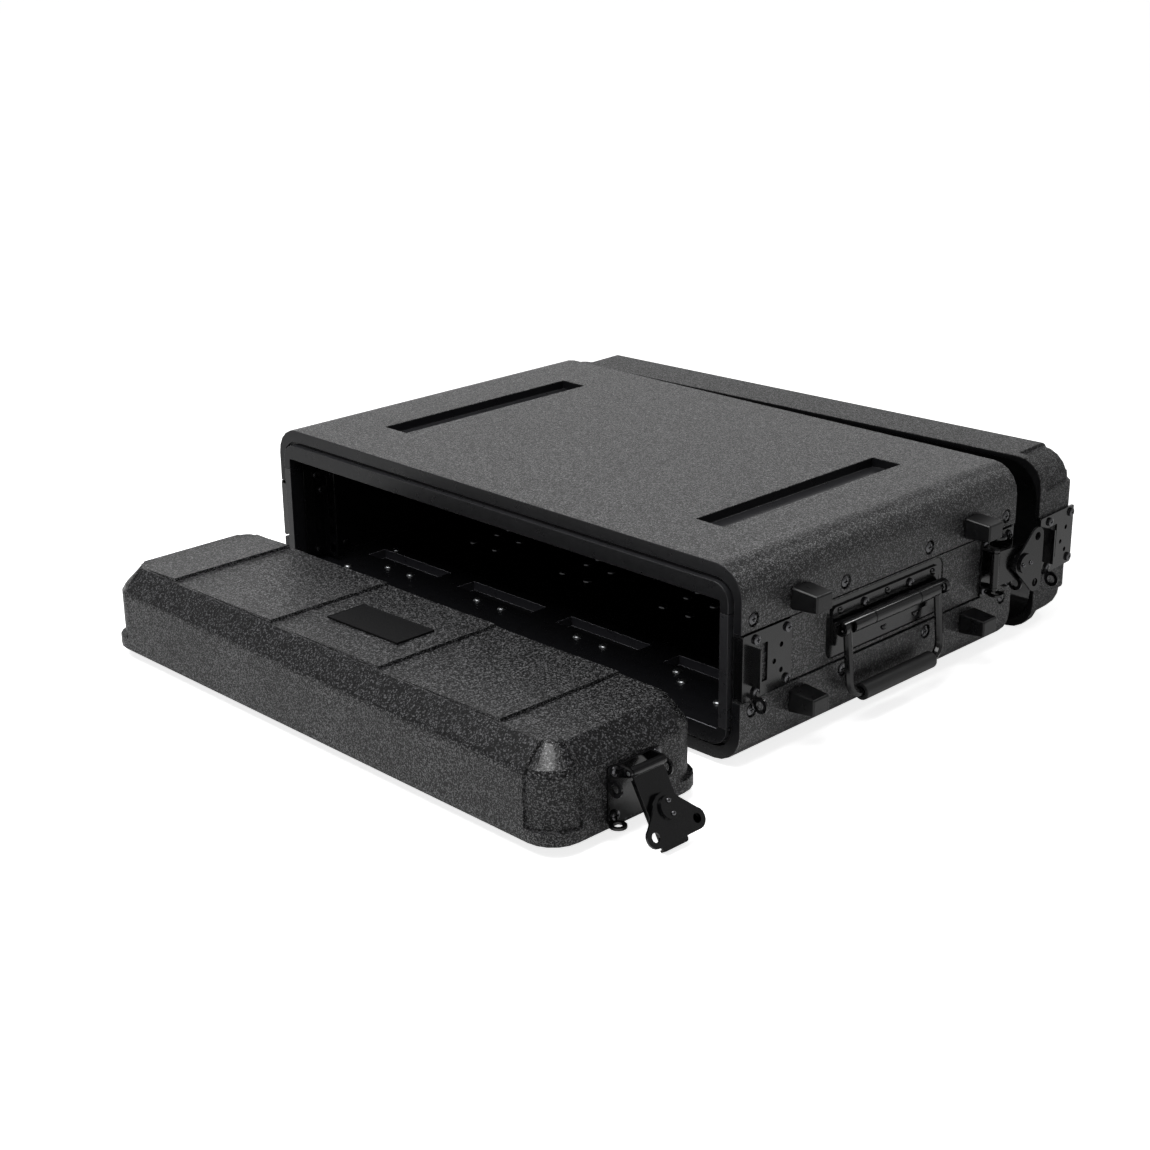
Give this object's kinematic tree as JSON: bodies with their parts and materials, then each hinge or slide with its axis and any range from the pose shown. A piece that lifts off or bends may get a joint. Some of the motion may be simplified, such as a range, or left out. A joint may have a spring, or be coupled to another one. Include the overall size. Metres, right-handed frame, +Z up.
{
  "type": "equipment rack case",
  "caption": "Moulded rack case for audio equipment: a rounded sleeve with rack rails, drop side handles and removable front and rear lids drawn tight by butterfly twist latches.",
  "frame": {"origin": "centre of the case's flat bottom face, between the two feet that hold it 5 mm off the floor", "axes": "+X towards the right-hand handle as seen from the front, +Y from the front opening to the rear, +Z up"},
  "size_m": [0.61, 0.6219, 0.1526],
  "materials": {
    "moulded_plastic": "pebble-grained black moulding",
    "smooth_plastic": "smooth satin black moulding",
    "black_steel": "glossy black coated sheet steel",
    "grip_rubber": "smooth soft black sleeve",
    "bright_steel": "plain steel pin ends"
  },
  "bodies": {
    "case": {"top_shell": "moulded_plastic", "bottom_shell": "moulded_plastic", "side_panel_left": "moulded_plastic", "side_panel_right": "moulded_plastic", "rack_rail_left": "black_steel", "rack_rail_right": "black_steel", "bumper_left_lower_front": "smooth_plastic", "bumper_left_lower_rear": "smooth_plastic", "bumper_left_upper_front": "smooth_plastic", "bumper_left_upper_rear": "smooth_plastic", "bumper_right_lower_front": "smooth_plastic", "bumper_right_lower_rear": "smooth_plastic", "bumper_right_upper_front": "smooth_plastic", "bumper_right_upper_rear": "smooth_plastic", "handle_plate_left": "black_steel", "handle_hinge_left": "black_steel", "keeper_front_left": "black_steel", "latch_base_rear_left": "black_steel", "latch_pin_rear_left": "bright_steel", "handle_plate_right": "black_steel", "handle_hinge_right": "black_steel", "keeper_front_right": "black_steel", "latch_base_rear_right": "black_steel", "latch_pin_rear_right": "bright_steel"},
    "handle_left": {"handle_bail_left": "black_steel", "handle_grip_left": "grip_rubber"},
    "handle_right": {"handle_bail_right": "black_steel", "handle_grip_right": "grip_rubber"},
    "front_lid": {"front_lid": "moulded_plastic", "latch_base_front_left": "black_steel", "latch_pin_front_left": "bright_steel", "latch_base_front_right": "black_steel", "latch_pin_front_right": "bright_steel"},
    "rear_lid": {"rear_lid": "moulded_plastic", "keeper_rear_left": "black_steel", "keeper_rear_right": "black_steel"},
    "latch_arm_front_left": {"latch_arm_front_left": "black_steel"},
    "latch_wing_front_left": {"latch_wing_front_left": "black_steel"},
    "latch_claw_front_left": {"latch_claw_front_left": "black_steel"},
    "latch_arm_front_right": {"latch_arm_front_right": "black_steel"},
    "latch_wing_front_right": {"latch_wing_front_right": "black_steel"},
    "latch_claw_front_right": {"latch_claw_front_right": "black_steel"},
    "latch_arm_rear_left": {"latch_arm_rear_left": "black_steel"},
    "latch_wing_rear_left": {"latch_wing_rear_left": "black_steel"},
    "latch_claw_rear_left": {"latch_claw_rear_left": "black_steel"},
    "latch_arm_rear_right": {"latch_arm_rear_right": "black_steel"},
    "latch_wing_rear_right": {"latch_wing_rear_right": "black_steel"},
    "latch_claw_rear_right": {"latch_claw_rear_right": "black_steel"}
  },
  "joints": [
    {"name": "front_lid_lift", "type": "slide", "parent": "case", "child": "front_lid", "axis": [0, 0, 1], "range_m": [0, 0.3]},
    {"name": "rear_lid_pull", "type": "slide", "parent": "case", "child": "rear_lid", "axis": [-0.0522, 0.9986, 0], "range_m": [0, 0.2]},
    {"name": "handle_left_swing", "type": "hinge", "parent": "case", "child": "handle_left", "pos_m": [-0.26735, 0, 0.0767], "axis": [0, 1, 0], "range_deg": [-3, 84.5]},
    {"name": "handle_right_swing", "type": "hinge", "parent": "case", "child": "handle_right", "pos_m": [0.26735, 0, 0.0767], "axis": [0, -1, 0], "range_deg": [-3, 84.5]},
    {"name": "latch_front_left_swing", "type": "hinge", "parent": "front_lid", "child": "latch_arm_front_left", "pos_m": [-0.26794, -0.27634, 0.04635], "axis": [0.0066, 1, 0], "range_deg": [-31, 79]},
    {"name": "latch_front_left_turn", "type": "hinge", "parent": "latch_arm_front_left", "child": "latch_wing_front_left", "pos_m": [-0.2834, -0.27624, 0.02063], "axis": [-0.8571, 0.0057, 0.515], "range_deg": [0, 180]},
    {"name": "latch_front_left_draw", "type": "slide", "parent": "latch_arm_front_left", "child": "latch_claw_front_left", "axis": [0.515, -0.0034, 0.8572], "range_m": [0, 0.008]},
    {"name": "latch_front_right_swing", "type": "hinge", "parent": "front_lid", "child": "latch_arm_front_right", "pos_m": [0.27854, -0.27996, 0.04635], "axis": [-0.0066, -1, 0], "range_deg": [-31, 79]},
    {"name": "latch_front_right_turn", "type": "hinge", "parent": "latch_arm_front_right", "child": "latch_wing_front_right", "pos_m": [0.294, -0.28007, 0.02063], "axis": [0.8571, -0.0057, 0.515], "range_deg": [0, 180]},
    {"name": "latch_front_right_draw", "type": "slide", "parent": "latch_arm_front_right", "child": "latch_claw_front_right", "axis": [-0.515, 0.0034, 0.8572], "range_m": [0, 0.008]},
    {"name": "latch_rear_left_swing", "type": "hinge", "parent": "case", "child": "latch_arm_rear_left", "pos_m": [-0.27225, 0.12455, 0.0738], "axis": [0, 0, 1], "range_deg": [-5, 105]},
    {"name": "latch_rear_left_turn", "type": "hinge", "parent": "latch_arm_rear_left", "child": "latch_wing_rear_left", "pos_m": [-0.27487, 0.15444, 0.0738], "axis": [-0.9962, -0.0872, 0], "range_deg": [0, 180]},
    {"name": "latch_rear_left_draw", "type": "slide", "parent": "latch_arm_rear_left", "child": "latch_claw_rear_left", "axis": [0.0872, -0.9962, 0], "range_m": [0, 0.008]},
    {"name": "latch_rear_right_swing", "type": "hinge", "parent": "case", "child": "latch_arm_rear_right", "pos_m": [0.27225, 0.12455, 0.0738], "axis": [0, 0, -1], "range_deg": [-5, 105]},
    {"name": "latch_rear_right_turn", "type": "hinge", "parent": "latch_arm_rear_right", "child": "latch_wing_rear_right", "pos_m": [0.27487, 0.15444, 0.0738], "axis": [0.9962, -0.0872, 0], "range_deg": [0, 180]},
    {"name": "latch_rear_right_draw", "type": "slide", "parent": "latch_arm_rear_right", "child": "latch_claw_rear_right", "axis": [-0.0872, -0.9962, 0], "range_m": [0, 0.008]}
  ],
  "couplings": [
    {"joint": "latch_front_left_draw", "follows": "latch_front_left_turn", "m_per_rad": 0.002546},
    {"joint": "latch_front_right_draw", "follows": "latch_front_right_turn", "m_per_rad": 0.002546},
    {"joint": "latch_rear_left_draw", "follows": "latch_rear_left_turn", "m_per_rad": 0.002546},
    {"joint": "latch_rear_right_draw", "follows": "latch_rear_right_turn", "m_per_rad": 0.002546}
  ]
}
